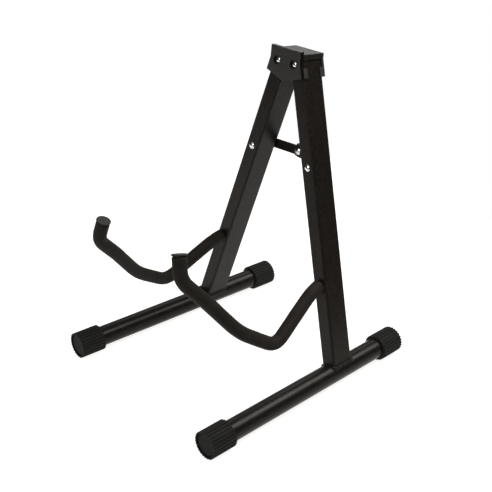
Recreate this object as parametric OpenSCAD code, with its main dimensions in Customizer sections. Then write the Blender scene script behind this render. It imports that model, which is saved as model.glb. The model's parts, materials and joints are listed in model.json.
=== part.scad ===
// Folding A-frame floor stand with two foam-covered cradle arms.
// Origin: middle of the footprint on the floor. +Z up, the cradle arms point to -Y.

/* [Frame] */
// Lean of the A-frame back from the vertical, in degrees
lean = 6.1; // [4:0.1:10]
// Angle of each leg to the centre line when the stand is open, in degrees
splay = 17.25; // [14:0.25:20]
// Leg length from the hinge pivot to the centre of the base tube
leg_len = 381.5; // [340:0.5:440]
// Half the distance between the two hinge pivots
pivot_half = 14.1; // [13.5:0.1:16]

/* [Legs] */
// Width of the leg tube across the A-frame
leg_w = 20.6; // [17:0.2:22]
// Depth of the leg tube from front to back
leg_d = 31.8; // [28:0.2:33]
// Wall thickness of the leg tube
leg_wall = 1.6; // [1.2:0.1:2.5]
// Outer corner radius of the leg tube
leg_corner = 2.6; // [1.8:0.1:4]
// Height of the leg's top end above its pivot
leg_top = 5.4; // [4:0.1:6]

/* [Base tubes and feet] */
// Outer diameter of the base tubes
base_d = 26.2; // [22:0.2:28]
// Wall thickness of the base tubes
base_wall = 1.5; // [1:0.1:2.5]
// Distance from the leg to the front end of a foot, along the base tube
reach_front = 220.4; // [200:0.5:240]
// Distance from the leg to the rear end of a foot, along the base tube
reach_rear = 106.5; // [90:0.5:130]
// Outer diameter of a rubber foot over its ribs
foot_d = 34.2; // [31:0.2:36]
// Length of a rubber foot
foot_len = 34; // [28:0.5:40]
// Number of grip ribs around a foot
foot_ribs = 26; // [24:2:40]
// Depth of the grooves between the ribs
rib_depth = 1.2; // [0.5:0.1:1.3]

/* [Cradle arms] */
// Diameter of the steel rod inside an arm
rod_d = 8; // [6:0.5:9]
// Outer diameter of the foam sleeve
foam_d = 17; // [13:0.2:18]
// Height above the base tube where the rod meets the leg, along the leg
arm_root = 113; // [105:0.5:120]
// Height of the tip of the foam above the base tube, along the leg
arm_tip = 187; // [180:1:200]
// How far the upright tip stands in front of the leg's centre
arm_reach = 223.5; // [215:0.5:235]
// Diameter of the end cap on an arm
cap_d = 17.8; // [16:0.2:19]
// Thickness of the end cap's flange
cap_t = 2.6; // [2:0.1:4]
// Angle that the left arm is raised about its root, as welded
left_lift = -1.2; // [-2:0.1:2]
// Angle that the right arm is raised about its root, as welded
right_lift = 1.6; // [-2:0.1:2]

/* [Hinge head] */
// Width of the bridge and of the rear cheek's upper part
head_w = 48; // [46:0.2:51]
// Width of the front cheek's upper part
front_w = 50.8; // [48:0.2:54]
// Height of the front cheek above the pivots
head_up = 17; // [15:0.2:20]
// Height of the rear cheek and the bridge above the pivots
bridge_up = 13.2; // [13:0.2:16]
// Thickness of the front cheek
cheek_front = 5; // [4:0.1:7]
// Thickness of the rear cheek
cheek_rear = 2.6; // [2.2:0.1:5]
// How far the cheeks reach down the legs below the pivots
cheek_down = 17.8; // [15:0.2:22]
// Thickness of the stop lips that wrap around the legs' outer faces
lip_t = 1; // [0.8:0.1:2.5]
// Diameter of the counterbores around the front rivet heads
counterbore_d = 10.8; // [10:0.1:12]
// Depth of the counterbores
counterbore_h = 3.3; // [2.5:0.1:3.6]

/* [Brace] */
// Distance of the brace pivots below the hinge pivots, along the leg
brace_drop = 123.2; // [100:0.2:150]
// Height of the brace's centre pivot above the line between its outer pivots
brace_rise = 2; // [1:0.1:6]
// Thickness of a brace link
link_t = 2.5; // [2:0.1:3.5]
// Width of the left brace link
link_w_left = 12; // [10:0.5:12]
// Width of the right brace link
link_w_right = 14; // [13:0.5:16]

/* [Hidden] */

$fn = 64;
left = -1;
right = 1;
fit = 0.08;                 // radial running clearance of the rivets
gap = 0.3;                  // gap between parts that move past each other
big = 400;                  // size of cutting blocks
eps = 0.05;                 // overrun of a cut

// The base tube is level when the stand is open, so it tilts in the leg's plane and toes in towards the rear.
tilt = atan(tan(lean) / cos(splay));
toe = asin(sin(tilt) * sin(splay));
foot_y = (reach_front - reach_rear) / 2 * cos(toe);
foot_z = foot_d / 2;
pivot_y = foot_y + leg_len * cos(splay) * sin(lean);
pivot_z = foot_z + leg_len * cos(splay) * cos(lean);
base_half = pivot_half + leg_len * sin(splay);

// Rivets, with domed heads at the front and flatter tails at the rear
hinge_r = 3;
hinge_head_d = 8.8;
bush_d = 10;
brace_r = 2.5;
brace_head_d = 9;
head_h = 2.3;
tail_h = 1.5;

// Layers of the hinge head and the brace, measured to the rear from the legs' middle plane
leg_back = leg_d / 2;
cheek_y = leg_back + gap;
washer_t = 0.5;
play = 0.1;                 // end play of a link on its rivet
right_link_y = leg_back + washer_t + play;
left_link_y = right_link_y + link_t + gap + play;

// Brace pivots in the head's frame
brace_x = pivot_half + brace_drop * sin(splay);
brace_z = -brace_drop * cos(splay);
link_len = sqrt(pow(brace_x, 2) + pow(brace_rise, 2));
link_angle = atan(brace_rise / brace_x);

// Route of an arm in the leg's plane before it is raised: distance in front of the leg's centre, height
arm_route = [[leg_back, arm_root], [30, arm_root - 5], [97, 56], [150, 85], [192, 130],
    [arm_reach, arm_tip - 27], [arm_reach - 2, arm_tip]];
arm_bends = [0, 42, 18, 95, 60, 21, 0];
foam_gap = 0.5;             // bare rod between the leg and the foam
arm_sides = 16;
bend_step = 7.5;
steel = "silver";
coat = [0.09, 0.09, 0.09];
plastic = [0.13, 0.13, 0.13];
rubber = [0.06, 0.06, 0.06];
foam = [0.05, 0.05, 0.05];

// ---------- frames ----------

// Frame of the hinge head: origin midway between the pivots, Z up along the leaning A-frame
module in_head() translate([0, pivot_y, pivot_z]) rotate([-lean, 0, 0]) children();

// Frame of one leg: origin at its pivot, Z along the leg, made for the right side and mirrored for the left
module in_leg(side)
    in_head() mirror([side == left ? 1 : 0, 0, 0]) translate([pivot_half, 0, 0])
        rotate([0, -splay, 0]) children();

// Frame of one base tube: origin under the leg, Y along the tube to the rear
module in_base(side)
    translate([side * base_half, foot_y, foot_z]) rotate([0, 0, side * toe]) children();

// A plate drawn in the XZ plane, from y0 to y0 + t
module plate(y0, t)
    translate([0, y0 + t, 0]) rotate([90, 0, 0]) linear_extrude(t) children();

// A round bar along Y, from y0 to y1
module bar_y(d, y0, y1)
    translate([0, y0, 0]) rotate([-90, 0, 0]) cylinder(d = d, h = y1 - y0);

// A shallow domed rivet head on a face, its dome towards +Z
module dome(d, h) {
    ball = (pow(d / 2, 2) + pow(h, 2)) / (2 * h);
    intersection() {
        translate([0, 0, h - ball]) sphere(r = ball);
        cylinder(d = d + 2, h = h + 1);
    }
}

module dome_front(d, h, y) translate([0, y, 0]) rotate([90, 0, 0]) dome(d, h);
module dome_back(d, h, y) translate([0, y, 0]) rotate([-90, 0, 0]) dome(d, h);

// ---------- hinge head ----------

flare_x = leg_w / 2 + gap + lip_t;
corner_x = pivot_half + flare_x * cos(splay) + cheek_down * sin(splay);
corner_z = flare_x * sin(splay) - cheek_down * cos(splay);
valley_z = corner_z - corner_x * tan(splay);

module cheek_outline(up, width) {
    shoulder_z = corner_z + (corner_x - width / 2) / tan(splay);
    half = [[width / 2, up], [width / 2, shoulder_z], [corner_x, corner_z]];
    mirrored = [for (i = [2:-1:0]) [-half[i][0], half[i][1]]];
    polygon(concat(half, [[0, valley_z]], mirrored));
}

lip_len = 12;               // length of a stop lip along its leg
lip_front = 6.4;            // how far the front and rear lips reach onto the side of a leg
lip_rear = 4.4;

// Lips on the outer sides of both open legs: the legs rest on them when the stand is open
module stop_lips(y0, y1)
    for (side = [left, right])
        mirror([side == left ? 1 : 0, 0, 0]) translate([pivot_half, 0, 0]) rotate([0, -splay, 0])
            translate([leg_w / 2 + gap, y0, -cheek_down]) cube([lip_t, y1 - y0, lip_len]);

module at_pivots() for (side = [left, right]) translate([side * pivot_half, 0, 0]) children();

module hinge_front_cheek() {
    front = -cheek_y - cheek_front;
    color(plastic) in_head() difference() {
        union() {
            plate(front, cheek_front) cheek_outline(head_up, front_w);
            stop_lips(-cheek_y - 1, -leg_back + lip_front);
        }
        at_pivots() {
            bar_y(2 * hinge_r, front - 1, -cheek_y + 1);
            bar_y(counterbore_d, front - 1, front + counterbore_h);
        }
    }
}

module hinge_rear_cheek() {
    color(plastic) in_head() difference() {
        union() {
            plate(cheek_y, cheek_rear) cheek_outline(bridge_up, head_w);
            stop_lips(leg_back - lip_rear, cheek_y + 1);
        }
        at_pivots() bar_y(2 * hinge_r, cheek_y - 1, cheek_y + cheek_rear + 1);
    }
}

// Cap over the tops of both legs, open below and closed at the sides
module hinge_bridge() {
    bottom = leg_top + 3 * gap;
    wall = 1.8;
    roof = 3;
    color(plastic) in_head() difference() {
        translate([-head_w / 2, -cheek_y, bottom]) cube([head_w, 2 * cheek_y, bridge_up - bottom]);
        translate([wall - head_w / 2, -cheek_y - 1, bottom - 1])
            cube([head_w - 2 * wall, 2 * cheek_y + 2, bridge_up - roof - bottom + 1]);
    }
}

module hinge_rivet(side) {
    floor_y = -cheek_y - cheek_front + counterbore_h;
    rear_y = cheek_y + cheek_rear;
    color(steel) in_head() translate([side * pivot_half, 0, 0]) {
        bar_y(2 * hinge_r, floor_y, rear_y);
        dome_front(hinge_head_d, head_h, floor_y);
        dome_back(hinge_head_d, tail_h, rear_y);
    }
}

// ---------- legs ----------

module rounded_rect(w, d, r)
    union() {
        square([w - 2 * r, d], center = true);
        square([w, d - 2 * r], center = true);
        for (x = [-1, 1], y = [-1, 1]) translate([x * (w / 2 - r), y * (d / 2 - r)]) circle(r = r);
    }

// Leg tube, cut level at its top and shaped to sit on the round base tube
module leg_tube(side) {
    color(coat) difference() {
        in_leg(side) difference() {
            translate([0, 0, -leg_len]) linear_extrude(leg_len + 2 * leg_top) difference() {
                rounded_rect(leg_w, leg_d, leg_corner);
                rounded_rect(leg_w - 2 * leg_wall, leg_d - 2 * leg_wall, leg_corner - leg_wall);
            }
            rotate([0, splay, 0]) translate([-big / 2, -big / 2, leg_top]) cube(big);
            bar_y(2 * (hinge_r + fit), -leg_d, leg_d);
            translate([0, 0, -brace_drop]) bar_y(2 * brace_r, -leg_d, leg_d);
        }
        in_base(side) bar_y(base_d, -2 * leg_d, 2 * leg_d);
    }
}

// Nylon sleeve on the hinge rivet, inside the leg tube
module pivot_bush(side) {
    half = leg_back - leg_wall;
    color("ivory") in_leg(side) difference() {
        bar_y(bush_d, -half, half);
        bar_y(2 * (hinge_r + fit), -leg_d, leg_d);
    }
}

// ---------- base tubes and feet ----------

foot_wall = 4;              // closed end of a rubber foot

module base_tube(side)
    color(coat) in_base(side) difference() {
        bar_y(base_d, foot_wall - reach_front, reach_rear - foot_wall);
        bar_y(base_d - 2 * base_wall, -reach_front, reach_rear);
    }

// Rubber foot along +Z, its closed end at z = 0. One rib's crest is flat on the floor.
module foot() {
    pitch = 360 / foot_ribs;
    half_crest = 0.2 * pitch;
    half_root = 0.12 * pitch;
    crest = foot_d / 2 / cos(half_crest);
    root = foot_d / 2 - rib_depth;
    disc_r = foot_d / 2 - 3.4;
    disc_in = 1.2;
    edge = 0.8;
    groove_w = 1;
    groove_h = 1.6;
    difference() {
        union() {
            // end disc with a rounded edge, set in from the end of the grip
            translate([0, 0, disc_in]) rotate_extrude() {
                square([disc_r - edge, groove_h + edge]);
                translate([0, edge]) square([disc_r, groove_h]);
                translate([disc_r - edge, edge]) circle(r = edge);
            }
            // ribbed grip round a groove
            difference() {
                linear_extrude(foot_len) polygon([for (i = [0:foot_ribs - 1]) each [
                    crest * along(i * pitch - half_crest),
                    crest * along(i * pitch + half_crest),
                    root * along((i + 0.5) * pitch - half_root),
                    root * along((i + 0.5) * pitch + half_root)]]);
                translate([0, 0, -1]) cylinder(r = disc_r + groove_w, h = disc_in + groove_h + 1);
            }
        }
        translate([0, 0, foot_wall]) cylinder(d = base_d, h = foot_len);
    }
}

// Both feet are turned about their tube so that the first rib faces straight down
module front_foot(side)
    color(rubber) in_base(side) translate([0, -reach_front, 0]) rotate([-90, 0, 0]) rotate([0, 0, 90]) foot();

module rear_foot(side)
    color(rubber) in_base(side) translate([0, reach_rear, 0]) rotate([90, 0, 0]) rotate([0, 0, -90]) foot();

// ---------- cradle arms ----------

function along(angle) = [cos(angle), sin(angle)];
function angle_of(v) = atan2(v[1], v[0]);
function turned(v, angle) = v[0] * along(angle) + v[1] * along(angle + 90);
function lift(side) = side == left ? left_lift : right_lift;

// Route of the arm on one side, raised about its root
function route_of(side) = [for (p = arm_route) arm_route[0] + turned(p - arm_route[0], lift(side))];

// Heading of the straight that follows the route's point i
function heading(route, i) = angle_of(route[i + 1] - route[i]);

// Stations of the bend at point i, each [point, heading]
function bend_stations(route, i) =
    let (
        before = heading(route, i - 1),
        turn = heading(route, i) - before,
        steps = ceil(abs(turn) / bend_step),
        start = route[i] - arm_bends[i] * tan(abs(turn) / 2) * along(before),
        inward = before + sign(turn) * 90,
        centre = start + arm_bends[i] * along(inward)
    ) [for (k = [0:steps]) let (a = turn * k / steps)
        [centre - arm_bends[i] * along(inward + a), before + a]];

// Ring of one station, square to the route
function ring(d, station) = [for (j = [0:arm_sides - 1]) let (a = 360 * j / arm_sides)
    [each station[0] + d / 2 * cos(a) * along(station[1] + 90), d / 2 * sin(a)]];

// First ring, cut parallel to the leg's front face at the distance x from the leg's centre
function root_ring(route, d, x) =
    let (
        slope = heading(route, 0),
        y = route[0][1] + (x - route[0][0]) * tan(slope)
    ) [for (j = [0:arm_sides - 1]) let (a = 360 * j / arm_sides)
        [x, y + d / 2 * cos(a) / cos(slope), d / 2 * sin(a)]];

// All rings of a bar that starts at the distance x in front of the leg's centre
function rings(route, d, x) =
    let (last = len(route) - 1) [
        root_ring(route, d, x),
        for (i = [1:last - 1]) each [for (s = bend_stations(route, i)) ring(d, s)],
        ring(d, [route[last], heading(route, last - 1)])];

function joined(lists) = [for (l = lists) each l];

// Walls between neighbouring rings, counted from the point number base
function walls(count, base, flip) = [for (k = [0:count - 2], j = [0:arm_sides - 1])
    let (
        a = base + k * arm_sides,
        n = (j + 1) % arm_sides,
        quad = [a + j, a + n, a + arm_sides + n, a + arm_sides + j]
    ) flip ? [quad[3], quad[2], quad[1], quad[0]] : quad];

// Round bar along an arm's route
module arm_bar(route, d, x) {
    all = rings(route, d, x);
    last = (len(all) - 1) * arm_sides;
    polyhedron(joined(all), concat(walls(len(all), 0, false),
        [[for (j = [arm_sides - 1:-1:0]) j]], [[for (j = [0:arm_sides - 1]) last + j]]));
}

// Tube along an arm's route, its bore the size of a bar
module arm_tube(route, d, bore, x) {
    outer = rings(route, d, x);
    inner = rings(route, bore, x);
    base = len(outer) * arm_sides;
    last = base - arm_sides;
    ends = [for (j = [0:arm_sides - 1]) let (n = (j + 1) % arm_sides) each [
        [n, j, base + j, base + n],
        [last + j, last + n, base + last + n, base + last + j]]];
    polyhedron(concat(joined(outer), joined(inner)),
        concat(walls(len(outer), 0, false), walls(len(outer), base, true), ends));
}

// Puts the XY plane of an arm into the leg's plane: X to the front, Y up the leg
module in_arm(side)
    in_leg(side) translate([0, 0, -leg_len]) rotate([90, 0, -90]) children();

module arm_rod(side)
    color(coat) in_arm(side) arm_bar(route_of(side), rod_d, leg_back);

module arm_foam(side)
    color(foam) in_arm(side) arm_tube(route_of(side), foam_d, rod_d, leg_back + foam_gap);

// Round end cap on the upturned tip: a flange on a neck, which leaves a narrow gap over the foam
module arm_cap(side) {
    route = route_of(side);
    last = len(route) - 1;
    edge = 0.6;
    neck_r = cap_d / 2 - 3;
    neck_h = 0.8;
    color(plastic) in_arm(side) translate([each route[last], 0]) rotate([0, 0, heading(route, last - 1)])
        rotate([0, 90, 0]) rotate_extrude() {
            square([neck_r, neck_h + eps]);
            translate([0, neck_h]) {
                square([cap_d / 2 - edge, cap_t - neck_h]);
                square([cap_d / 2, cap_t - neck_h - edge]);
                translate([cap_d / 2 - edge, cap_t - neck_h - edge]) circle(r = edge);
            }
        }
}

// ---------- brace ----------

link_end = 1.2;             // how far the rounded outer end of a link is set in towards its middle
tab_start = 9;              // where the stop tab starts, before the centre pivot
tab_len = 12;

// Y where the link on one side starts
function link_y(side) = side == left ? left_link_y : right_link_y;

module brace_spacer(side)
    color(steel) in_leg(side) translate([0, 0, -brace_drop]) difference() {
        bar_y(brace_head_d, leg_back, link_y(side) - play);
        bar_y(2 * brace_r, 0, leg_d);
    }

module brace_rivet(side) {
    end = link_y(side) + link_t + play;
    color(steel) in_leg(side) translate([0, 0, -brace_drop]) {
        bar_y(2 * brace_r, -leg_back, end);
        dome_front(brace_head_d, head_h, -leg_back);
        dome_back(brace_head_d, tail_h, end);
    }
}

// Frame of a link: origin at its outer pivot, X along the link to the centre pivot
module in_link(side)
    in_head() mirror([side == right ? 1 : 0, 0, 0])
        translate([-brace_x, link_y(side), brace_z]) rotate([0, -link_angle, 0]) children();

module link_plate(w)
    difference() {
        plate(0, link_t) union() {
            translate([link_end, 0]) circle(d = w);
            translate([link_len, 0]) circle(d = w);
            translate([link_end, -w / 2]) square([link_len - link_end, w]);
        }
        bar_y(2 * (brace_r + fit), -1, link_t + 1);
        translate([link_len, 0, 0]) bar_y(2 * brace_r, -1, link_t + 1);
    }

module left_brace_link() color(coat) in_link(left) link_plate(link_w_left);

// The right link's top edge is bent back over the left link as a stop that keeps the brace from passing straight
module right_brace_link()
    color(coat) in_link(right) {
        link_plate(link_w_right);
        translate([link_len - tab_start, 0, link_w_right / 2 - eps])
            cube([tab_len, left_link_y - right_link_y + link_t, link_t]);
    }

// The centre pivot is made in two halves: the rivet stays in the right link, the button in the left link
module brace_centre_rivet()
    color(steel) in_link(right) translate([link_len, 0, 0]) {
        bar_y(2 * brace_r, 0, link_t);
        dome_front(brace_head_d, head_h - gap, 0);
    }

module brace_centre_button()
    color(steel) in_link(left) translate([link_len, 0, 0]) {
        bar_y(2 * brace_r, 0, link_t);
        dome_back(brace_head_d, tail_h, link_t);
    }

hinge_front_cheek();
hinge_rear_cheek();
hinge_bridge();
hinge_rivet(left);  // left_hinge_rivet
hinge_rivet(right);  // right_hinge_rivet
leg_tube(left);  // left_leg_tube
leg_tube(right);  // right_leg_tube
pivot_bush(left);  // left_pivot_bush
pivot_bush(right);  // right_pivot_bush
base_tube(left);  // left_base_tube
base_tube(right);  // right_base_tube
front_foot(left);  // left_front_foot
front_foot(right);  // right_front_foot
rear_foot(left);  // left_rear_foot
rear_foot(right);  // right_rear_foot
arm_rod(left);  // left_arm_rod
arm_rod(right);  // right_arm_rod
arm_foam(left);  // left_arm_foam
arm_foam(right);  // right_arm_foam
arm_cap(left);  // left_arm_cap
arm_cap(right);  // right_arm_cap
brace_rivet(left);  // left_brace_rivet
brace_rivet(right);  // right_brace_rivet
brace_spacer(left);  // left_brace_spacer
brace_spacer(right);  // right_brace_spacer
left_brace_link();
right_brace_link();
brace_centre_rivet();
brace_centre_button();
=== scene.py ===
"""Looks of the folding A-frame guitar stand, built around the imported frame. Everything is in metres."""

import json
import math

import bmesh
import bpy
import numpy as np
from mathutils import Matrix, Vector, noise


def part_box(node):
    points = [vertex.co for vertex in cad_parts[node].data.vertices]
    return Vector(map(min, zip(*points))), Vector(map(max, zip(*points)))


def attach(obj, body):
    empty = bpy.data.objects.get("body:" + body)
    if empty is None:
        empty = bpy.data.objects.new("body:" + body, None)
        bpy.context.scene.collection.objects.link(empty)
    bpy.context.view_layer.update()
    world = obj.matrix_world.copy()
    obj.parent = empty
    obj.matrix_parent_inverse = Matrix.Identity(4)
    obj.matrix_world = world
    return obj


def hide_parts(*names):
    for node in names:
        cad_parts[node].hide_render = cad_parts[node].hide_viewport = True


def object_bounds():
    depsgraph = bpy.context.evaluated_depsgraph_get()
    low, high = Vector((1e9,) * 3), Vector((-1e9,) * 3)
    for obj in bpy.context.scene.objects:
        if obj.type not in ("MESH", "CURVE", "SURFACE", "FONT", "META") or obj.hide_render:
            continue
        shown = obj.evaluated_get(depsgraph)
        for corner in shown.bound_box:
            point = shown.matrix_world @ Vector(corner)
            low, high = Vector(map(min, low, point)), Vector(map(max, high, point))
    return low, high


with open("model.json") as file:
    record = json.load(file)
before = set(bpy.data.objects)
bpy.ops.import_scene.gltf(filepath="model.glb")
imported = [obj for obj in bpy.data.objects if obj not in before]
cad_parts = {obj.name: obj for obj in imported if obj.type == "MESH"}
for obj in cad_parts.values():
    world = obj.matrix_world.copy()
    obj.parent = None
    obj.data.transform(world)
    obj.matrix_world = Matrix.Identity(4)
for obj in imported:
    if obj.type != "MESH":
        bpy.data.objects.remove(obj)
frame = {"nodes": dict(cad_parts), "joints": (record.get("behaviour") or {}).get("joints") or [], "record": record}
CAD_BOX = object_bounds()
SCENE = bpy.context.scene
NODES = frame["nodes"]
JOINTS = {j["name"]: j for j in frame["joints"]}
MOUNTS = {m["name"]: m for m in frame["record"]["mounts"]}
MM = 0.001
SIDES = ("left", "right")

# ---------- camera ----------

CAMERA_AT = (0.7814, -0.6605, 0.6825)
CAMERA_TURN = 49.208
CAMERA_DOWN = 26.975
CAMERA_LENS = 67.28
CAMERA_SENSOR = 36
CAMERA_NEAR = 0.05


def make_camera():
    data = bpy.data.cameras.new("camera")
    data.lens = CAMERA_LENS
    data.sensor_width = CAMERA_SENSOR
    data.clip_start = CAMERA_NEAR
    camera = bpy.data.objects.new("camera", data)
    camera.location = CAMERA_AT
    camera.rotation_euler = (math.radians(90 - CAMERA_DOWN), 0, math.radians(CAMERA_TURN))
    SCENE.collection.objects.link(camera)
    SCENE.camera = camera


# ---------- places taken from the frame ----------


def leg_frame(side):
    """The leg's hinge pivot, and its directions up, to the front and across."""
    pivot = Vector(JOINTS[f"{side}_leg_fold"]["pos_m"])
    brace = Vector(JOINTS[f"{side}_link_fold"]["pos_m"])
    up = (pivot - brace).normalized()
    front = Vector(JOINTS["right_leg_fold"]["axis"]).normalized() * -1
    return pivot, up, front, up.cross(front)


def leg_section(side):
    """Half width and half depth of the leg tube."""
    pivot, _, front, across = leg_frame(side)
    points = [v.co - pivot for v in NODES[f"{side}_leg_tube"].data.vertices]
    return max(p.dot(across) for p in points), max(p.dot(front) for p in points)


def base_frame(side):
    """Middle of the base tube, its direction to the rear and its outer radius."""
    front = Vector(MOUNTS[f"{side}_front_foot_rest"]["pos_m"])
    rear = Vector(MOUNTS[f"{side}_rear_foot_rest"]["pos_m"])
    along = (rear - front).normalized()
    low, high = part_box(f"{side}_base_tube")
    middle = (low + high) / 2
    return middle, along, (high.z - low.z) / 2


def rod_radius(side):
    """Radius of the CAD rod, measured across the leg's plane."""
    pivot, _, _, across = leg_frame(side)
    return max((v.co - pivot).dot(across) for v in NODES[f"{side}_arm_rod"].data.vertices)


# ---------- node helpers ----------

# Pointiness where an edge starts and is full, and where a hollow is full and ends.
EDGE_POINTINESS = (0.5, 0.62)
FINE_EDGE_POINTINESS = (0.5, 0.6)
HOLLOW_POINTINESS = (0.4, 0.49)
# Parts of a noise texture's range that are spread over the whole of a tone or a roughness.
CLOUD_SPREAD = (0.35, 0.65)
WIDE_SPREAD = (0.3, 0.7)


class Shader:
    """A material with a Principled shader and short calls to add nodes to it."""

    def __init__(self, name):
        self.material = bpy.data.materials.new(name)
        self.material.use_nodes = True
        self.tree = self.material.node_tree
        self.shader = self.tree.nodes["Principled BSDF"]
        self.place = self.add("ShaderNodeTexCoord").outputs["Object"]

    def add(self, kind, **values):
        node = self.tree.nodes.new(kind)
        for name, value in values.items():
            setattr(node, name, value)
        return node

    def link(self, source, target):
        self.tree.links.new(source, target)

    def set(self, **values):
        for name, value in values.items():
            self.shader.inputs[name.replace("_", " ")].default_value = value

    def scaled(self, size):
        """The object's coordinates, stretched so that one unit is size, a number or three of them."""
        size = size if isinstance(size, tuple) else (size, size, size)
        mapping = self.add("ShaderNodeMapping")
        mapping.inputs["Scale"].default_value = tuple(1 / s for s in size)
        self.link(self.place, mapping.inputs["Vector"])
        return mapping.outputs["Vector"]

    def noise(self, size, detail, roughness=0.55):
        texture = self.add("ShaderNodeTexNoise")
        texture.inputs["Scale"].default_value = 1.0
        texture.inputs["Detail"].default_value = detail
        texture.inputs["Roughness"].default_value = roughness
        self.link(self.scaled(size), texture.inputs["Vector"])
        return texture.outputs["Fac"]

    def cells(self, size):
        """Distance to the middle of the nearest of many scattered cells."""
        texture = self.add("ShaderNodeTexVoronoi")
        texture.inputs["Scale"].default_value = 1.0
        self.link(self.scaled(size), texture.inputs["Vector"])
        return texture.outputs["Distance"]

    def range(self, value, low, high, to_low=0, to_high=1):
        """The value, with low to high spread over to_low to to_high and held there outside it."""
        node = self.add("ShaderNodeMapRange")
        limits = {"From Min": low, "From Max": high, "To Min": to_low, "To Max": to_high}
        for name, number in limits.items():
            node.inputs[name].default_value = number
        self.link(value, node.inputs["Value"])
        return node.outputs["Result"]

    def math(self, operation, *numbers):
        node = self.add("ShaderNodeMath", operation=operation)
        for socket, value in zip(node.inputs, numbers):
            if isinstance(value, (int, float)):
                socket.default_value = value
            else:
                self.link(value, socket)
        return node.outputs["Value"]

    def mix(self, factor, a, b):
        node = self.add("ShaderNodeMix", data_type="RGBA")
        for name, value in zip(("A", "B"), (a, b)):
            socket = [s for s in node.inputs if s.name == name and s.type == "RGBA"][0]
            if isinstance(value, tuple):
                socket.default_value = (*value, 1)
            else:
                self.link(value, socket)
        self.link(factor, node.inputs["Factor"])
        return [s for s in node.outputs if s.type == "RGBA"][0]

    def bump(self, height, strength, distance):
        """Adds a layer of bump on top of the layers there are."""
        node = self.add("ShaderNodeBump")
        node.inputs["Strength"].default_value = strength
        node.inputs["Distance"].default_value = distance
        self.link(height, node.inputs["Height"])
        normal = self.shader.inputs["Normal"]
        if normal.links:
            self.link(normal.links[0].from_socket, node.inputs["Normal"])
        self.link(node.outputs["Normal"], normal)

    def cloudy(self, dark, light, size, detail, spread=CLOUD_SPREAD):
        """A tone that drifts in soft clouds from dark to light."""
        return self.mix(self.range(self.noise(size, detail), *spread), dark, light)

    def edges(self, pointiness=EDGE_POINTINESS):
        """Near 1 on outward edges, 0 on flat and hollow places."""
        return self.range(self.add("ShaderNodeNewGeometry").outputs["Pointiness"], *pointiness)

    def hollows(self):
        """Near 1 in inward corners, 0 on flat places and outward edges."""
        pointiness = self.add("ShaderNodeNewGeometry").outputs["Pointiness"]
        return self.range(pointiness, *HOLLOW_POINTINESS, to_low=1, to_high=0)

    def along(self, direction):
        """How far the place lies along a direction."""
        node = self.add("ShaderNodeVectorMath", operation="DOT_PRODUCT")
        self.link(self.place, node.inputs[0])
        node.inputs[1].default_value = direction
        return node.outputs["Value"]

    def side_facing(self):
        """1 where the surface faces straight to the object's left or right, 0 at right angles to that."""
        node = self.add("ShaderNodeSeparateXYZ")
        self.link(self.add("ShaderNodeTexCoord").outputs["Normal"], node.inputs["Vector"])
        return self.math("ABSOLUTE", node.outputs["X"])

    def uneven_roughness(self, size, detail, low, high):
        """Roughness that drifts between low and high."""
        return self.range(self.noise(size, detail), *WIDE_SPREAD, low, high)

    def color(self, source):
        self.link(source, self.shader.inputs["Base Color"])

    def roughness(self, source):
        self.link(source, self.shader.inputs["Roughness"])


# ---------- materials ----------

# Dark tone, light tone, roughness and, for powder coat, the tint of its gloss.
COATS = {
    "frame_coat": ((0.0066, 0.0053, 0.0043), (0.0079, 0.0064, 0.0053), 0.34, (1.0, 0.93, 0.88, 1)),
    # The base tubes' coat is a darker copy of the frame's coat: painted shade.
    "shaded_tube_coat": ((0.0043, 0.0039, 0.0032), (0.0051, 0.0047, 0.0039), 0.315, (1.0, 0.94, 0.86, 1)),
    "brace_coat": ((0.0050, 0.0044, 0.0035), (0.0064, 0.0057, 0.0047), 0.44, (1.0, 0.93, 0.88, 1)),
}
HEAD_LOOK = ((0.0192, 0.0185, 0.0172), (0.0229, 0.0221, 0.0206), 0.42)
# The bridge's plastic is a darker copy of the head's plastic: painted shade.
SHADED_BRIDGE_LOOK = ((0.0102, 0.0092, 0.0076), (0.0120, 0.0109, 0.0091), 0.4)
CAP_LOOK = ((0.0100, 0.0097, 0.0089), (0.0125, 0.0121, 0.0112), 0.46)

# How many times the light tone the edges are: partly wear, partly painted highlight.
COAT_WEAR_AND_HIGHLIGHT = 2.4
PLASTIC_WEAR_AND_HIGHLIGHT = 1.9
# Polished side walls, also painted darker as shade: share of the dark tone they are painted, roughness taken off,
# width of the change from satin, and how squarely a wall faces the side where the polish and the painted shade
# start and are complete.
SIDE_WALL_SHADE_TONE = 0.2
POLISH = 0.2
POLISH_AND_SHADE_EDGE = 0.3 * MM
SHADED_POLISHED_FACING = (0.6, 0.85)

RUBBER_TONE = (0.0044, 0.0042, 0.0038)
RUBBER_DUST = (0.0086, 0.0082, 0.0074)
RUBBER_WORN_HIGHLIT_EDGE = (0.017, 0.0165, 0.015)
RUBBER_EDGE_WEAR_AND_HIGHLIGHT = 0.45
RUBBER_HOLLOW_SHADE = (0.0015, 0.0014, 0.0012)
FOAM_TONES = ((0.0074, 0.0055, 0.0038), (0.0108, 0.0082, 0.0058))
FOAM_PIT_SHADE = (0.005, 0.0045, 0.004)
STEEL_TONES = ((0.66, 0.66, 0.66), (0.82, 0.82, 0.81))
HAIRLINE = (0.12 * MM, 1.6 * MM, 0.12 * MM)
NYLON_TONES = ((0.62, 0.59, 0.5), (0.74, 0.71, 0.63))


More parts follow.
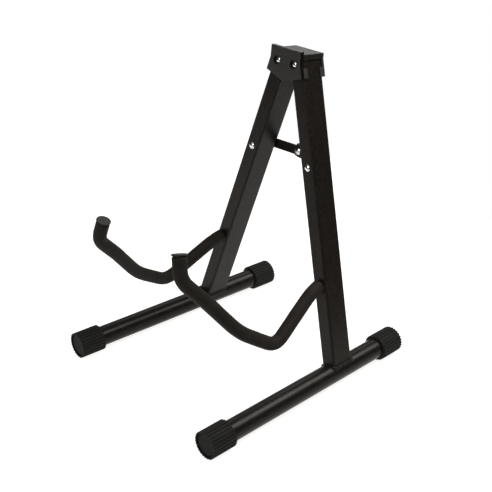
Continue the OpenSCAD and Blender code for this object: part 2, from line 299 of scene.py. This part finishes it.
def powder_coat(name, dark, light, rough, tint):
    """Satin powder coat on steel: fine orange peel, a little cloudy, lighter in places on its edges, partly worn
    and partly a painted highlight.
    """
    s = Shader(name)
    tone = s.cloudy(dark, light, size=24 * MM, detail=4)
    patches = s.range(s.noise(size=3 * MM, detail=5), 0.45, 0.7, to_high=0.55)
    # Edges lightened in patches: partly wear, partly painted highlight.
    worn_and_highlit = s.math("MULTIPLY", s.edges(), patches)
    s.color(s.mix(worn_and_highlit, tone, tuple(COAT_WEAR_AND_HIGHLIGHT * c for c in light)))
    s.roughness(s.uneven_roughness(9 * MM, 5, low=rough - 0.03, high=rough + 0.04))
    s.bump(s.noise(size=1.1 * MM, detail=2), strength=0.06, distance=0.05 * MM)
    s.bump(s.cells(size=0.35 * MM), strength=0.05, distance=0.02 * MM)
    s.set(Specular_IOR_Level=0.13, Specular_Tint=tint)
    return s.material


def moulded_plastic(name, dark, light, rough, shaded_polished_from=None):
    """Satin injection-moulded plastic with a fine spark-eroded texture. Where there is a point
    shaded_polished_from, the side walls in front of it are polished and painted darker as shade."""
    s = Shader(name)
    tone = s.cloudy(dark, light, size=14 * MM, detail=3)
    # Edges lightened in patches: partly scuffs, partly painted highlight.
    patches = s.range(s.noise(size=2 * MM, detail=4), 0.4, 0.7, 0.1, 0.5)
    scuffed_and_highlit = s.math("MULTIPLY", s.edges(), patches)
    color = s.mix(scuffed_and_highlit, tone, tuple(PLASTIC_WEAR_AND_HIGHLIGHT * c for c in light))
    roughness = s.uneven_roughness(5 * MM, 4, low=rough - 0.05, high=rough + 0.06)
    if shaded_polished_from is not None:
        _, _, front, _ = leg_frame("right")
        start = shaded_polished_from.dot(front)
        ahead = s.range(s.along(front), start, start + POLISH_AND_SHADE_EDGE)
        polished_and_shaded = s.math("MULTIPLY", ahead, s.range(s.side_facing(), *SHADED_POLISHED_FACING))
        # Painted shade: the side walls are darkened as if in shadow.
        color = s.mix(polished_and_shaded, color, tuple(SIDE_WALL_SHADE_TONE * c for c in dark))
        roughness = s.math("SUBTRACT", roughness, s.math("MULTIPLY", polished_and_shaded, POLISH))
    s.color(color)
    s.roughness(roughness)
    s.bump(s.cells(size=0.32 * MM), strength=0.14, distance=0.04 * MM)
    s.bump(s.noise(size=0.8 * MM, detail=3), strength=0.12, distance=0.04 * MM)
    s.set(Specular_IOR_Level=0.2)
    return s.material


def moulded_rubber(name):
    """Matt black rubber, painted darker in its grooves as shade, with a little pale dust held in its texture."""
    s = Shader(name)
    dust = s.range(s.noise(size=6 * MM, detail=6, roughness=0.65), 0.48, 0.72, to_high=0.6)
    tone = s.mix(dust, RUBBER_TONE, RUBBER_DUST)
    # Edges lighter: partly wear, partly painted highlight.
    worn_and_highlit = s.math("MULTIPLY", s.edges(FINE_EDGE_POINTINESS), RUBBER_EDGE_WEAR_AND_HIGHLIGHT)
    # Painted shade: the hollows are darkened.
    s.color(s.mix(s.hollows(), s.mix(worn_and_highlit, tone, RUBBER_WORN_HIGHLIT_EDGE), RUBBER_HOLLOW_SHADE))
    s.roughness(s.uneven_roughness(3 * MM, 4, low=0.58, high=0.72))
    s.bump(s.noise(size=0.5 * MM, detail=4), strength=0.22, distance=0.06 * MM)
    s.bump(s.noise(size=7 * MM, detail=2), strength=0.1, distance=0.2 * MM)
    s.set(Specular_IOR_Level=0.1)
    return s.material


def closed_cell_foam(name):
    """Matt black foam: a skin of fine cells with scattered larger pits, painted darker as shade, and a brownish
    cast.
    """
    s = Shader(name)
    tone = s.cloudy(*FOAM_TONES, size=16 * MM, detail=4)
    pits = s.range(s.cells(size=1.5 * MM), 0.08, 0.32)
    # The pits are painted darker: painted shade.
    s.color(s.mix(pits, FOAM_PIT_SHADE, tone))
    s.roughness(s.uneven_roughness(4 * MM, 4, low=0.66, high=0.8))
    s.bump(s.cells(size=0.45 * MM), strength=0.3, distance=0.09 * MM)
    s.bump(pits, strength=0.12, distance=0.1 * MM)
    s.set(Specular_IOR_Level=0.13, Sheen_Weight=0.015, Sheen_Roughness=0.5)
    return s.material


def plated_steel(name):
    """Bright zinc-plated rivet steel with fine hammer marks and hairlines."""
    s = Shader(name)
    s.color(s.cloudy(*STEEL_TONES, size=2.5 * MM, detail=4))
    s.roughness(s.uneven_roughness(0.7 * MM, 4, low=0.16, high=0.27))
    s.bump(s.noise(size=1.4 * MM, detail=2), strength=0.1, distance=0.08 * MM)
    s.bump(s.noise(size=HAIRLINE, detail=2), strength=0.05, distance=0.02 * MM)
    s.set(Metallic=1.0)
    return s.material


def natural_nylon(name):
    """Off-white nylon of the hidden bushes."""
    s = Shader(name)
    s.color(s.cloudy(*NYLON_TONES, size=5 * MM, detail=3))
    s.roughness(s.uneven_roughness(1.5 * MM, 3, low=0.38, high=0.5))
    s.bump(s.noise(size=0.6 * MM, detail=3), strength=0.1, distance=0.03 * MM)
    return s.material


def make_materials():
    pivot, _, front, _ = leg_frame("right")
    leg_face = pivot + front * leg_section("right")[1]
    materials = {name: powder_coat(name, *look) for name, look in COATS.items()}
    materials |= {
        "head_plastic": moulded_plastic("head_plastic", *HEAD_LOOK),
        "shaded_bridge_plastic": moulded_plastic("shaded_bridge_plastic", *SHADED_BRIDGE_LOOK),
        "front_cheek_plastic": moulded_plastic("front_cheek_plastic", *HEAD_LOOK, shaded_polished_from=leg_face),
        "cap_plastic": moulded_plastic("cap_plastic", *CAP_LOOK),
        "foot_rubber": moulded_rubber("foot_rubber"),
        "arm_foam": closed_cell_foam("arm_foam"),
        "rivet_steel": plated_steel("rivet_steel"),
        "nylon": natural_nylon("nylon"),
    }
    return materials


def paint(piece, material):
    piece.data.materials.clear()
    piece.data.materials.append(material)


# ---------- mesh helpers ----------

BEVEL_SEGMENTS = 3
BEVEL_ANGLE = 30


def mesh_piece(name, points, faces):
    mesh = bpy.data.meshes.new(name)
    mesh.from_pydata([tuple(p) for p in points], [], faces)
    mesh.validate()
    bm = bmesh.new()
    bm.from_mesh(mesh)
    bmesh.ops.recalc_face_normals(bm, faces=bm.faces)
    bm.to_mesh(mesh)
    bm.free()
    mesh.shade_smooth()
    piece = bpy.data.objects.new(name, mesh)
    SCENE.collection.objects.link(piece)
    return piece


def ring_faces(count, sides, closed):
    """Quads between count rings of points, each with sides points."""
    faces = []
    for i in range(count if closed else count - 1):
        for j in range(sides):
            a = i * sides + j
            b = i * sides + (j + 1) % sides
            c = (i + 1) % count * sides + (j + 1) % sides
            d = (i + 1) % count * sides + j
            faces.append((a, b, c, d))
    return faces


def turns(sides):
    """Even angles round a circle."""
    return [2 * math.pi * j / sides for j in range(sides)]


def ring(middle, u, v, radius, sides):
    """Points round a circle in the plane of u and v."""
    return [middle + (u * math.cos(a) + v * math.sin(a)) * radius for a in turns(sides)]


def even_steps(line, step):
    """The same line of point pairs, with its points an even step apart."""
    lengths = np.concatenate([[0], np.cumsum(np.linalg.norm(np.diff(line, axis=0), axis=1))])
    count = max(2, round(lengths[-1] / step))
    at = np.linspace(0, lengths[-1], count + 1)
    return np.stack([np.interp(at, lengths, line[:, k]) for k in range(2)], axis=1)


def smoothed(line, step, reach):
    """The line with its bends eased, its two ends kept in place."""
    half = int(3 * reach / step)
    kernel = np.exp(-0.5 * (np.arange(-half, half + 1) * step / reach) ** 2)
    kernel /= kernel.sum()
    before = 2 * line[0] - line[half:0:-1]
    after = 2 * line[-1] - line[-2 : -half - 2 : -1]
    padded = np.concatenate([before, line, after])
    return np.stack([np.convolve(padded[:, k], kernel, mode="valid") for k in range(2)], axis=1)


def soften(piece, width):
    """Rounds a piece's sharp edges."""
    bevel = piece.modifiers.new("soft edges", "BEVEL")
    bevel.width = width
    bevel.segments = BEVEL_SEGMENTS
    bevel.limit_method = "ANGLE"
    bevel.angle_limit = math.radians(BEVEL_ANGLE)
    bevel.harden_normals = True
    bevel.use_clamp_overlap = True


# ---------- foam sleeves ----------

# Points of the CAD sleeve this near to its greatest radius lie on its crest, told apart to so many digits.
CREST_SHARE = 0.999
CREST_DIGITS = 5
SLEEVE_SIDES = 48
SLEEVE_STEP = 1.1 * MM
SLEEVE_FIT = 0.995
BEND_EASING = 4.5 * MM
# The bends near the leg are gentler: the easing changes over the last ROOT_BLEND of the first ROOT_REACH.
ROOT_EASING = 9 * MM
ROOT_REACH = 85 * MM
ROOT_BLEND = 35 * MM
BEND_WINDOW = 9
# A bend is the sleeve's radius over the bend's. The foam gives in proportion to it, by shares of its radius.
MOST_BEND = 0.9
FLATTENING = 0.025
BULGE = 0.01
BUCKLE = 0.022
BUCKLE_LENGTH = 2.4 * MM
# Height of the soft lumps as a share of the radius, and their size.
LUMPS = ((0.012, 13 * MM), (0.005, 4 * MM))
END_ROUNDING = 1.6 * MM
END_SHRINK = 0.16
ROD_GAP = 0.1 * MM
# Rings of the hole at each end: how far outward from the end, and the extra radius.
HOLE_RINGS = ((0, 0.5 * MM), (-0.8 * MM, 0), (-3 * MM, 0))


def crest_line(side):
    """Centreline of the CAD sleeve in the leg's plane, from the leg to the tip, as pairs of how far to the
    front and up it is from the pivot, and the sleeve's radius."""
    pivot, up, front, across = leg_frame(side)
    points = [v.co - pivot for v in NODES[f"{side}_arm_foam"].data.vertices]
    radius = max(p.dot(across) for p in points)
    highest = [p for p in points if p.dot(across) > CREST_SHARE * radius]
    crest = {(round(p.dot(front), CREST_DIGITS), round(p.dot(up), CREST_DIGITS)) for p in highest}
    line = [min(crest)]
    crest.remove(line[0])
    while crest:
        nearest = min(crest, key=lambda p: math.dist(p, line[-1]))
        crest.remove(nearest)
        line.append(nearest)
    return np.array(line), radius


def eased(crest):
    """The crest line in even steps with its bends eased, more near the root than further out."""
    line = even_steps(crest, SLEEVE_STEP)
    near_root = np.clip((ROOT_REACH - np.arange(len(line)) * SLEEVE_STEP) / ROOT_BLEND, 0, 1)[:, None]
    gentle = smoothed(line, SLEEVE_STEP, ROOT_EASING)
    return near_root * gentle + (1 - near_root) * smoothed(line, SLEEVE_STEP, BEND_EASING)


def swell(angle, along, bend, spot):
    """Extra radius at an angle round the sleeve, as a share of its radius: it flattens where it bends,
    buckles in soft waves on the inside of the bend, and is lumpy."""
    give = min(abs(bend), MOST_BEND)
    inward = math.cos(angle) * (1 if bend > 0 else -1)
    flat = -FLATTENING * give * abs(math.cos(angle)) + BULGE * give * abs(math.sin(angle))
    wave = math.sin(along / BUCKLE_LENGTH) * BUCKLE * max(0.0, inward) * give
    return flat + wave + sum(height * noise.noise(spot / size) for height, size in LUMPS)


def end_narrowing(from_end):
    """Share of the radius that is left near the sleeve's rounded ends."""
    t = min(1.0, from_end / END_ROUNDING)
    return 1 - END_SHRINK * (1 - math.sqrt(max(0.0, 1 - (1 - t) ** 2)))


def make_sleeve(side, material):
    """Soft foam sleeve swept along the CAD sleeve's centreline, with rounded ends and holes for the rod."""
    pivot, up, front, across = leg_frame(side)
    crest, radius = crest_line(side)
    line = eased(crest)
    count = len(line)
    heading = np.gradient(line, axis=0)
    heading /= np.linalg.norm(heading, axis=1)[:, None]
    turn = np.gradient(np.unwrap(np.arctan2(heading[:, 1], heading[:, 0]))) / SLEEVE_STEP
    bend = np.convolve(turn, np.ones(BEND_WINDOW) / BEND_WINDOW, mode="same") * radius
    middles = [pivot + front * float(x) + up * float(y) for x, y in line]
    side_ways = [front * float(-y) + up * float(x) for x, y in heading]
    points = []
    for i, (middle, side_way) in enumerate(zip(middles, side_ways)):
        ends = end_narrowing(min(i, count - 1 - i) * SLEEVE_STEP)
        spots = ring(middle, side_way, across, radius, SLEEVE_SIDES)
        for angle, spot in zip(turns(SLEEVE_SIDES), spots):
            r = radius * (SLEEVE_FIT + swell(angle, i * SLEEVE_STEP, bend[i], spot)) * ends
            points.append(middle + (side_way * math.cos(angle) + across * math.sin(angle)) * r)
    faces = ring_faces(count, SLEEVE_SIDES, closed=False)
    hole = rod_radius(side) + ROD_GAP
    for end in (0, count - 1):
        start = len(points)
        outward = (front * float(heading[end, 0]) + up * float(heading[end, 1])) * (1 if end else -1)
        for place, extra in HOLE_RINGS:
            middle = middles[end] + outward * place
            points += ring(middle, side_ways[end], across, hole + extra, SLEEVE_SIDES)
        wall = ring_faces(len(HOLE_RINGS), SLEEVE_SIDES, closed=False)
        faces += [tuple(start + k for k in quad) for quad in wall]
        outer = end * SLEEVE_SIDES
        for j in range(SLEEVE_SIDES):
            n = (j + 1) % SLEEVE_SIDES
            faces.append((outer + j, outer + n, start + n, start + j))
    piece = mesh_piece(f"{side}_arm_sleeve", points, faces)
    paint(piece, material)
    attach(piece, f"{side}_leg")
    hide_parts(f"{side}_arm_foam")


# ---------- welds ----------

BEAD_SIDES = 12
BEAD_STEP = 0.45 * MM
BEAD_RADIUS = 2.8 * MM
# The bead on the leg's front face is dressed thinner.
FRONT_BEAD = 0.45
RIPPLE_LENGTH = 2.3 * MM
RIPPLE = 0.10
BEAD_LUMPS = 0.22
BEAD_LUMP_SIZE = 5 * MM
CORNER = 2.6 * MM
CORNER_STEPS = 8
COLLAR_RADIUS = 0.42 * MM
COLLAR_SINK = 0.2 * MM
COLLAR_GAP = 0.05 * MM
COLLAR_RIPPLE = 0.1
COLLAR_RIPPLE_TURN = 3.1


def rounded_loop(half_w, half_d, corner, step):
    """Even points round a rounded rectangle."""
    w, d = half_w - corner, half_d - corner
    outline = []
    for quarter, (x, y) in enumerate(((w, d), (-w, d), (-w, -d), (w, -d))):
        for k in range(CORNER_STEPS + 1):
            a = math.radians(90 * (quarter + k / CORNER_STEPS))
            outline.append((x + corner * math.cos(a), y + corner * math.sin(a)))
    outline.append(outline[0])
    return even_steps(np.array(outline), step)[:-1]


def make_bead(name, path, radii, material, body):
    """A closed weld bead: a lumpy tube along a closed path."""
    count = len(path)
    points = []
    for i in range(count):
        along = (path[(i + 1) % count] - path[i - 1]).normalized()
        u = along.orthogonal().normalized() if i == 0 else (u - along * u.dot(along)).normalized()
        points += ring(path[i], u, along.cross(u), radii[i], BEAD_SIDES)
    piece = mesh_piece(name, points, ring_faces(count, BEAD_SIDES, closed=True))
    paint(piece, material)
    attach(piece, body)


def make_leg_weld(side, material):
    """Weld bead round the leg's lower end, where it sits on the round base tube."""
    pivot, up, front, across = leg_frame(side)
    middle, tube_way, tube_radius = base_frame(side)
    half_w, half_d = leg_section(side)
    slide = up - tube_way * up.dot(tube_way)
    path = []
    radii = []
    for i, (x, y) in enumerate(rounded_loop(half_w, half_d, CORNER, BEAD_STEP)):
        start = pivot + across * float(x) + front * float(y)
        # Down the leg's edge, its distance from the tube's axis gives a quadratic in the drop. The edge
        # meets the tube at the smaller root.
        offset = start - middle
        offset -= tube_way * offset.dot(tube_way)
        b = offset.dot(slide) / slide.dot(slide)
        c = (offset.dot(offset) - tube_radius**2) / slide.dot(slide)
        drop = b - math.sqrt(max(0.0, b * b - c))
        ripple = RIPPLE * math.sin(2 * math.pi * i * BEAD_STEP / RIPPLE_LENGTH)
        lumps = BEAD_LUMPS * noise.noise(start / BEAD_LUMP_SIZE)
        at_front = y > half_d - MM and abs(x) < half_w - CORNER
        path.append(start - up * drop)
        radii.append(BEAD_RADIUS * (FRONT_BEAD if at_front else 1.0) * (1 + ripple + lumps))
    make_bead(f"{side}_leg_weld", path, radii, material, f"{side}_leg")


def make_arm_weld(side, material):
    """Small collar of weld round the rod where it leaves the leg, inside the end of the sleeve."""
    pivot, up, front, across = leg_frame(side)
    crest, _ = crest_line(side)
    _, half_d = leg_section(side)
    root = pivot + front * (half_d + COLLAR_GAP) + up * float(crest[0, 1])
    radius = rod_radius(side)
    steps = int(2 * math.pi * radius / BEAD_STEP)
    path = ring(root, up, across, radius - COLLAR_SINK, steps)
    radii = [COLLAR_RADIUS * (1 + COLLAR_RIPPLE * math.sin(COLLAR_RIPPLE_TURN * k)) for k in range(steps)]
    make_bead(f"{side}_arm_weld", path, radii, material, f"{side}_leg")


# ---------- light and floor ----------

FLOOR_AT = (-0.56, -0.45, 0)
FLOOR_REACH = (0.94, 1.05, 1)
FLOOR_GLOW = 0.89
FLOOR_GLOW_COLOR = (1.0, 0.985, 0.965, 1)
FLOOR_TONES = ((0.29, 0.288, 0.284), (0.31, 0.308, 0.304))
FLOOR_CLOUD = 0.5
FLOOR_GRAIN = 0.05
ROOM_TONE = (0.034, 0.031, 0.028, 1)
BACKDROP_TONE = (1.0, 1.0, 1.0, 1)

# Where each light stands, seen from the place it is set out from, its size and its power. The strip lies
# along the base tubes and gives them their streak of light.
STRIP = {"away": 1.9 * Vector((0.24, 0.48, 0.777)), "size": (1.6, 0.9), "power": 45}
TOP = {"away": 2.6 * Vector((-0.3, -0.1, 0.95)), "size": (2.6, 2.6), "power": 9}
FRONT = {"away": 3.0 * Vector((0.27, -0.77, 0.58)), "size": (1.6, 1.6), "power": 56}
REAR_CARD = {"away": Vector((-0.675, 0.66, 0.34)), "size": (0.8, 0.3), "power": 2.2}


def make_floor():
    """Table that glows evenly, so that it stays pale and the shadows on it stay faint."""
    bm = bmesh.new()
    bmesh.ops.create_grid(bm, x_segments=1, y_segments=1, size=1)
    mesh = bpy.data.meshes.new("floor")
    bm.to_mesh(mesh)
    bm.free()
    floor = bpy.data.objects.new("floor", mesh)
    floor.location = FLOOR_AT
    floor.scale = FLOOR_REACH
    SCENE.collection.objects.link(floor)
    s = Shader("floor_paper")
    s.color(s.cloudy(*FLOOR_TONES, size=FLOOR_CLOUD, detail=3, spread=WIDE_SPREAD))
    s.roughness(s.uneven_roughness(FLOOR_GRAIN, 3, low=0.85, high=0.95))
    s.set(Specular_IOR_Level=0.0, Emission_Color=FLOOR_GLOW_COLOR, Emission_Strength=FLOOR_GLOW)
    paint(floor, s.material)


def area_light(name, origin, aim, away, size, power):
    """A soft rectangular light that stands away from its origin and shines at its aim. Its first size is
    its level one."""
    data = bpy.data.lights.new(name, "AREA")
    data.shape = "RECTANGLE"
    data.size, data.size_y = size
    data.energy = power
    light = bpy.data.objects.new(name, data)
    light.location = origin + away
    light.rotation_euler = (aim - light.location).to_track_quat("-Z", "Y").to_euler()
    SCENE.collection.objects.link(light)


def make_lights():
    low, high = (Vector(v) for v in CAD_BOX)
    middle = (low + high) / 2
    top = Vector((middle.x, middle.y, high.z))
    tube, _, _ = base_frame("right")
    beside_strip = Vector((middle.x, (tube + STRIP["away"]).y, middle.z))
    area_light("strip", tube, beside_strip, **STRIP)
    area_light("top", middle, middle, **TOP)
    area_light("front", middle, middle, **FRONT)
    area_light("rear_card", top, top, **REAR_CARD)


def make_room():
    """A dark room with a white backdrop that only the camera sees."""
    world = bpy.data.worlds.new("studio")
    world.use_nodes = True
    nodes = world.node_tree.nodes
    rays = nodes.new("ShaderNodeLightPath")
    mix = nodes.new("ShaderNodeMix")
    mix.data_type = "RGBA"
    tones = [socket for socket in mix.inputs if socket.type == "RGBA"]
    tones[0].default_value = ROOM_TONE
    tones[1].default_value = BACKDROP_TONE
    link = world.node_tree.links.new
    link(rays.outputs["Is Camera Ray"], mix.inputs["Factor"])
    tone = [socket for socket in mix.outputs if socket.type == "RGBA"][0]
    link(tone, nodes["Background"].inputs["Color"])
    SCENE.world = world
    SCENE.view_settings.view_transform = "Standard"
    SCENE.view_settings.look = "None"


# ---------- build ----------

OWN_MATERIALS = {
    "hinge_front_cheek": "front_cheek_plastic",
    # The bridge gets the darker copy of the head's plastic as painted shade.
    "hinge_bridge": "shaded_bridge_plastic",
    # The base tubes get the darker copy of the frame's coat as painted shade.
    "left_base_tube": "shaded_tube_coat",
    "right_base_tube": "shaded_tube_coat",
}
EDGE_WIDTHS = {
    "hinge_front_cheek": 1.2 * MM,
    "hinge_rear_cheek": 0.5 * MM,
    "hinge_bridge": 0.8 * MM,
    "left_brace_link": 0.3 * MM,
    "right_brace_link": 0.3 * MM,
}


def main():
    make_camera()
    materials = make_materials()
    slots = {row["node"]: row["material_slot"] for row in frame["record"]["subparts"]}
    for name, node in NODES.items():
        paint(node, materials[OWN_MATERIALS.get(name, slots[name])])
        if name in EDGE_WIDTHS:
            soften(node, EDGE_WIDTHS[name])
    for side in SIDES:
        make_sleeve(side, materials["arm_foam"])
        make_leg_weld(side, materials["frame_coat"])
        make_arm_weld(side, materials["frame_coat"])
    make_floor()
    make_lights()
    make_room()


main()
